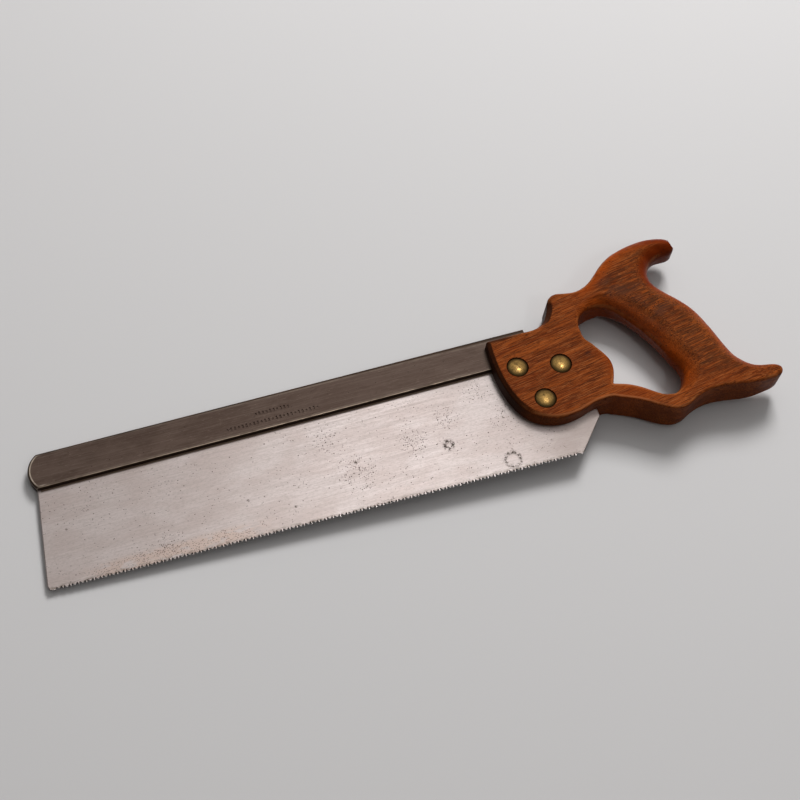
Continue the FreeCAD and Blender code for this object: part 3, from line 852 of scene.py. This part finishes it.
def finish_back(back):
    """Dark brown metal with fine lengthwise scratches, painted shade on its roundings and underside, and
    painted highlights along its edges.
    """
    skin = Surface("browned_metal", BROWNED["base"])
    rim = skin.attribute("rim")
    up = skin.axis("Y")
    clouds = skin.noise((22.0, 9.0, 6.0), 4.0, 0.65, 0.5)
    streaks = skin.noise((30.0, 0.7, 2.0), 4.0, 0.65)
    fine = skin.noise((3.0, 0.3, 1.0), 2.0, 0.6)
    glints = skin.noise((4.0, 0.4, 1.0), 3.0, 0.7, 0.0, (8.0, 2.0, 0.0))
    skin.coat(clouds, 0.35, 0.68, 1.0, BROWNED["light"])
    skin.coat(streaks, 0.42, 0.75, 0.5, BROWNED["streak"])
    skin.coat(fine, 0.55, 0.8, 0.4, BROWNED["scratch"])
    skin.coat(glints, 0.58, 0.74, 0.55, BROWNED["glint"])
    # Painted shade along the upper edge, where the top rounding turns away from the light.
    skin.coat(up, 19.3, 20.2, 0.6, BROWNED["upper_edge_shade"])

    # Painted shade darkens the roundings, with a painted highlight line where they meet the flat face, most
    # of all at the toe.
    skin.paint(skin.fall(rim, 0.7, 1.2, 0.75), BROWNED["rounding_shade"])
    patchy = skin.step(skin.noise((9.0, 4.0, 2.0), 3.0, 0.6), 0.3, 0.6, 0.25, 1.0)
    at_toe = skin.step(skin.axis("X"), 2.0, 6.0, 1.0, 0.12)
    line = skin.product(skin.rise(rim, 0.8, 1.25), skin.fall(rim, 1.3, 1.9))
    skin.paint(skin.product(line, patchy, at_toe), BROWNED["edge_highlight_line"])
    # Painted highlight line along the lower edge of the back.
    lower_edge_highlight = skin.product(skin.rise(up, 0.1, 0.3), skin.fall(up, 0.5, 1.0))
    mostly = skin.math("MINIMUM", skin.math("ADD", patchy, 0.1), 1.0)
    skin.paint(skin.product(lower_edge_highlight, mostly), BROWNED["lower_edge_highlight"])

    # Painted shade on the downward-facing underside, and old rust along the upper edge.
    skin.paint(skin.fall(skin.normal("Y"), -0.75, -0.45, 0.95), BROWNED["underside_shade"])
    rust = skin.product(skin.rise(up, 19.9, 20.6), skin.step(clouds, 0.4, 0.6, 0.1, 0.8))
    skin.paint(rust, BROWNED["rust"])

    distance, chance = skin.specks((1.7, 1.4, 1.0), (3.0, 1.0, 0.0))
    pits = skin.dots(distance, chance, 0.06, 0.10, 0.24)
    skin.paint(pits, BROWNED["pit"])
    roughness = skin.step(clouds, 0.3, 0.7, 0.36, 0.5)
    height = skin.math("SUBTRACT", skin.product(streaks, 0.6), skin.product(pits, 2.0))
    skin.finish(Roughness=roughness, Metallic=0.85, Normal=skin.bump(height, 0.03, 0.6))
    skin.apply(back)


GRAIN_TURN = 9.0
WOOD = {
    "light": (0.265, 0.060, 0.010), "dark": (0.150, 0.029, 0.005), "fibre": (0.075, 0.017, 0.004),
    "hair": (0.31, 0.100, 0.030), "line": (0.040, 0.009, 0.003), "polished": (0.36, 0.055, 0.002),
    "polished_line": (0.060, 0.012, 0.003), "mottle": (0.120, 0.022, 0.003), "fleck": (0.038, 0.010, 0.004),
    "dirt_and_shade": (0.050, 0.018, 0.007), "patch": (0.052, 0.022, 0.014), "horn_tip": (0.040, 0.018, 0.012),
    "hollow_shade": (0.115, 0.013, 0.001), "rubbed_and_highlit_edge": (0.36, 0.13, 0.042), "lower_rub_and_highlight": (0.31, 0.10, 0.034),
    "wall_shade": (0.055, 0.014, 0.005), "chamfer": (0.024, 0.008, 0.004), "pore": (0.028, 0.012, 0.008),
    "spot": (0.026, 0.010, 0.007),
}

# Circles on the handle, each a place and a reach.
DIRTY_PATCHES = [((366.0, 26.0), 16.0), ((352.0, 30.0), 12.0), ((374.0, 8.0), 14.0)]
PORE_PATCHES = [((374.0, 13.0), 10.0), ((388.0, -13.0), 8.0)]
HOLLOWS = [((395.0, 46.0), 24.0), ((380.0, 34.0), 18.0)]
HORN_TIP = ((407.5, 51.0), 7.0)
NIB = ((305.0, 26.0), 11.0)
CHEEK_SPOT = ((321.5, -10.0), 3.2)
GLOSSY_AREA = ((356.0, -2.0), 28.0)


def finish_handle(handle):
    """Old beech, oiled and varnished: grain along the saw, dark flecks, stains and a polished grip."""
    skin = Surface("old_beech", WOOD["light"])
    rim = skin.attribute("rim")
    along = skin.axis("X")
    up = skin.axis("Y")
    skin.turn_texture(GRAIN_TURN)
    growth = skin.noise((75.0, 5.0, 7.0), 3.0, 0.55, 0.5)
    fibre = skin.noise((15.0, 0.65, 0.8), 4.0, 0.62)
    lines = skin.noise((17.0, 0.34, 0.5), 3.0, 0.6, 0.0, (5.0, 9.0, 3.0))
    hair = skin.noise((6.0, 0.28, 0.3), 2.0, 0.5)
    blotch = skin.noise((20.0, 11.0, 11.0), 4.0, 0.6, 0.5)
    skin.coat(growth, 0.34, 0.66, 1.0, WOOD["dark"])
    skin.coat(fibre, 0.42, 0.64, 0.75, WOOD["fibre"])
    skin.coat(hair, 0.50, 0.70, 0.75, WOOD["hair"])
    skin.coat(lines, 0.51, 0.60, 0.85, WOOD["line"])

    # The grip and the throat are worn to a mottled orange brown where a hand polishes them.
    grip = skin.product(skin.rise(along, 318.0, 345.0), skin.rise(up, -52.0, -36.0))
    polish = skin.product(grip, skin.fall(rim, 1.0, 9.0))
    skin.paint(skin.product(polish, 0.6), WOOD["polished"])
    skin.coat(lines, 0.51, 0.64, 0.5, WOOD["polished_line"])
    mottle = skin.noise((7.0, 3.0, 3.0), 4.0, 0.7, 0.6, (11.0, 4.0, 0.0))
    skin.paint(skin.product(polish, skin.rise(mottle, 0.44, 0.62, 0.4)), WOOD["mottle"])

    # Short dark flecks along the grain.
    distance, chance = skin.specks((3.4, 0.62, 0.62))
    flecks = skin.dots(distance, chance, skin.step(blotch, 0.35, 0.7, 0.22, 0.5), 0.18, 0.42)
    skin.paint(skin.product(flecks, 0.6), WOOD["fleck"])

    # Dirt, mostly on top of the grip, a few darker patches and the dark broken tip of the upper horn.
    dirt_and_shade = skin.noise((15.0, 2.2, 3.0), 4.0, 0.7, 0.6, (31.0, 5.0, 2.0))
    on_top = skin.step(rim, 6.0, 12.0, 0.12, 0.66)
    skin.paint(skin.product(skin.rise(dirt_and_shade, 0.42, 0.60), grip, on_top), WOOD["dirt_and_shade"])
    for circle in DIRTY_PATCHES:
        patch = skin.product(skin.near(*circle, 0.1), skin.rise(blotch, 0.42, 0.6), 0.6)
        skin.paint(patch, WOOD["patch"])
    skin.paint(skin.product(skin.near(*HORN_TIP, 0.6), 0.8), WOOD["horn_tip"])

    # Painted shade makes the hollow behind the upper horn and the throat below it darker and redder.
    hollow_shade = skin.product(skin.near_any(HOLLOWS, 0.4), skin.fall(rim, 4.0, 10.0, 0.85))
    skin.paint(hollow_shade, WOOD["hollow_shade"])

    # Crisp edges are rubbed paler and carry a painted highlight, most of all along the lower edge of the
    # cheek.
    rubbed_and_highlit_edge = skin.product(skin.rise(rim, 0.2, 0.8), skin.fall(rim, 1.1, 2.0),
                          skin.rise(blotch, 0.4, 0.65, 0.45))
    skin.paint(rubbed_and_highlit_edge, WOOD["rubbed_and_highlit_edge"])
    lower = skin.product(skin.rise(along, 274.0, 282.0), skin.fall(along, 340.0, 352.0),
                         skin.fall(up, -34.0, -28.0, 0.6))
    lower = skin.product(lower, skin.rise(rim, 0.3, 0.9), skin.fall(rim, 1.3, 2.1))
    skin.paint(lower, WOOD["lower_rub_and_highlight"])

    # Painted shade darkens the walls, and the chamfers at the front of the cheek and on the nib.
    steep_wall_shade = skin.fall(skin.math("ABSOLUTE", skin.normal("Z")), 0.25, 0.75, 0.72)
    skin.paint(skin.product(steep_wall_shade, skin.step(along, 296.0, 322.0, 0.5, 0.42)), WOOD["wall_shade"])
    # Painted shade on the chamfers, which face away from the light.
    front = skin.product(skin.fall(along, 276.0, 292.0), skin.rise(up, -40.0, -26.0),
                         skin.fall(rim, 1.8, 2.4))
    nib_chamfer_shade = skin.product(skin.near(*NIB, 0.7), skin.fall(rim, 2.8, 3.4))
    skin.paint(skin.product(skin.most(front, nib_chamfer_shade), 0.85), WOOD["chamfer"])

    # Small round dents and pores, and one dark spot on the cheek.
    limit = skin.product(grip, skin.step(blotch, 0.4, 0.65, 0.03, 0.22))
    limit = skin.most(limit, skin.product(skin.near_any(PORE_PATCHES, 0.1), 0.7))
    distance, chance = skin.specks((1.5, 1.0, 1.0), (2.0, 3.0, 4.0))
    pores = skin.dots(distance, chance, limit, 0.16, 0.40)
    skin.paint(pores, WOOD["pore"])
    spot = skin.product(skin.near(*CHEEK_SPOT, 0.2), skin.rise(fibre, 0.40, 0.55), 0.8)
    skin.paint(spot, WOOD["spot"])

    gloss = skin.product(skin.near(*GLOSSY_AREA, 0.5), polish, 0.4)
    roughness = skin.math("SUBTRACT", skin.step(blotch, 0.3, 0.7, 0.40, 0.52),
                          skin.product(polish, 0.14))
    height = skin.math("ADD", skin.product(fibre, 0.5), skin.product(hair, 0.35))
    height = skin.math("SUBTRACT", height, skin.product(flecks, 0.45))
    height = skin.math("SUBTRACT", height, skin.product(pores, 1.6))
    skin.finish(Roughness=roughness, Normal=skin.bump(height, 0.10, 0.7), Specular_IOR_Level=0.04,
                   Coat_Weight=gloss, Coat_Roughness=0.2)
    skin.apply(handle)


BRASS = {
    "warm": (0.60, 0.365, 0.115), "aged": (0.340, 0.200, 0.065), "speck": (0.130, 0.082, 0.032),
    "edge": (0.080, 0.052, 0.022), "streak": (0.050, 0.036, 0.018),
}
HEAD_STREAK = ((277.6, -5.4), 1.9)
HEAD_SPOTS = [((278.0, -7.4), 1.6), ((303.2, -11.0), 0.9), ((285.0, -29.0), 1.4)]


def brass_surface():
    """Aged brass: warm where it is rubbed, brown and greenish where it isn't."""
    skin = Surface("aged_brass", BRASS["warm"])
    cloud = skin.noise((3.2, 3.2, 2.0), 4.0, 0.7, 0.6)
    fine = skin.noise((0.7, 0.5, 0.5), 3.0, 0.6)
    skin.coat(cloud, 0.34, 0.66, 1.0, BRASS["aged"])
    skin.coat(fine, 0.48, 0.76, 0.65, BRASS["speck"])
    # Dark towards the edge of each head: tarnish and painted shade.
    skin.paint(skin.fall(skin.attribute("rim"), 0.2, 2.6, 0.85), BRASS["edge"])
    streak = skin.most(skin.near(*HEAD_STREAK, 0.1), skin.near_any(HEAD_SPOTS, 0.2))
    streak = skin.product(streak, skin.step(fine, 0.35, 0.6, 0.4, 1.0), 0.7)
    skin.paint(streak, BRASS["streak"])
    roughness = skin.step(cloud, 0.3, 0.7, 0.25, 0.40)
    skin.finish(Roughness=roughness, Metallic=1.0, Normal=skin.bump(fine, 0.04, 0.5))
    return skin


# ---------------------------------------------------------------- stage

CAMERA_PLACE = (6.3, -381.4, 744.1)
CAMERA_TURN = (29.62, -4.98, -19.355)
LENS = 67.3
SENSOR_WIDTH = 36.0

# The floor's colour, its half width, and where along the saw the cheek and the toe touch it.
FLOOR_COLOUR = (0.56, 0.55, 0.55)
FLOOR_HALF = 2500.0
FLOOR_CONTACT = 267.5
TOE_CONTACT = -1.5

# The surroundings glow most in one broad area high behind the saw.
BRIGHT_AREA = (0.225, 0.42, 0.880)
GLOW = {"From Min": 0.45, "From Max": 1.0, "To Min": 0.11, "To Max": 0.60}
GLOW_COLOUR = (1.0, 0.985, 0.97, 1.0)

# Each light: direction from the saw, distance and size in metres, power in watts, and whether it lights
# matt surfaces and shows on glossy ones.
LIT_PLACE = (200.0, -20.0, 0.0)
LIGHTS = {
    "key": ((0.42, 0.60, 0.68), 1.8, 0.6, 30.0, True, False),
    "panel": (BRIGHT_AREA, 1.8, 0.42, 1.05, True, True),
    "front": ((0.23, -0.53, 0.83), 1.6, 0.26, 1.8, True, False),
    "shine": ((0.27, 0.02, 0.96), 1.6, 0.36, 4.0, False, True),
}


def make_camera():
    """Camera over the toe side of the saw, looking down at it across the teeth."""
    data = bpy.data.cameras.new("camera")
    data.lens = LENS
    data.sensor_width = SENSOR_WIDTH
    camera = new_object("camera", data)
    camera.location = in_frame(CAMERA_PLACE)
    camera.rotation_euler = Euler([math.radians(angle) for angle in CAMERA_TURN], "XYZ")
    bpy.context.scene.camera = camera


def make_floor():
    """Pale floor that the saw tips down to: it touches the front of the cheek and the toe of the back."""
    rise = (HALF_HANDLE - BACK_HALF) / (FLOOR_CONTACT - TOE_CONTACT)
    points = []
    for x, y in ((-FLOOR_HALF, -FLOOR_HALF), (FLOOR_HALF, -FLOOR_HALF),
                 (FLOOR_HALF, FLOOR_HALF), (-FLOOR_HALF, FLOOR_HALF)):
        points.append((x, y, -HALF_HANDLE + (FLOOR_CONTACT - x) * rise))
    mesh = bpy.data.meshes.new("floor")
    mesh.from_pydata(in_frame(points).tolist(), [], [(0, 1, 2, 3)])
    floor = new_object("floor", mesh)
    skin = Surface("pale_floor", FLOOR_COLOUR)
    grain = skin.noise((1.4, 1.4, 1.4), 2.0, 0.5)
    skin.finish(Roughness=0.8, Normal=skin.bump(grain, 0.05, 0.3))
    skin.apply(floor)


def make_light(name, direction, distance, size, power, on_matt, on_gloss):
    """Soft square light that faces the saw from a direction."""
    data = bpy.data.lights.new(name, "AREA")
    data.shape = "SQUARE"
    data.size = size
    data.energy = power
    light = new_object(name, data)
    light.visible_diffuse = on_matt
    light.visible_glossy = on_gloss
    towards = Vector(direction).normalized()
    light.location = Vector(in_frame(LIT_PLACE)) + towards * distance
    light.rotation_euler = towards.to_track_quat("Z", "Y").to_euler()


def make_world():
    """Soft surroundings, brightest in one broad area high behind the saw."""
    world = bpy.data.worlds.new("studio")
    world.use_nodes = True
    tree = world.node_tree
    coordinates = tree.nodes.new("ShaderNodeTexCoord")
    towards = tree.nodes.new("ShaderNodeVectorMath")
    towards.operation = "DOT_PRODUCT"
    towards.inputs[1].default_value = Vector(BRIGHT_AREA).normalized()
    tree.links.new(coordinates.outputs["Generated"], towards.inputs[0])
    glow = tree.nodes.new("ShaderNodeMapRange")
    glow.interpolation_type = "SMOOTHSTEP"
    tree.links.new(towards.outputs["Value"], glow.inputs["Value"])
    for name, value in GLOW.items():
        glow.inputs[name].default_value = value
    tree.links.new(glow.outputs["Result"], tree.nodes["Background"].inputs["Strength"])
    tree.nodes["Background"].inputs["Color"].default_value = GLOW_COLOUR
    bpy.context.scene.world = world


make_camera()
make_world()
make_floor()
for light_name, light_settings in LIGHTS.items():
    make_light(light_name, *light_settings)
bpy.context.scene.view_settings.view_transform = "Standard"

finish_plate(make_plate())
finish_back(make_back())
finish_handle(make_handle())
brass = brass_surface()
for screw_name, screw_centre in SCREW_PLACES.items():
    brass.apply(make_screw(screw_name, screw_centre))
    brass.apply(make_nut(screw_name, screw_centre))
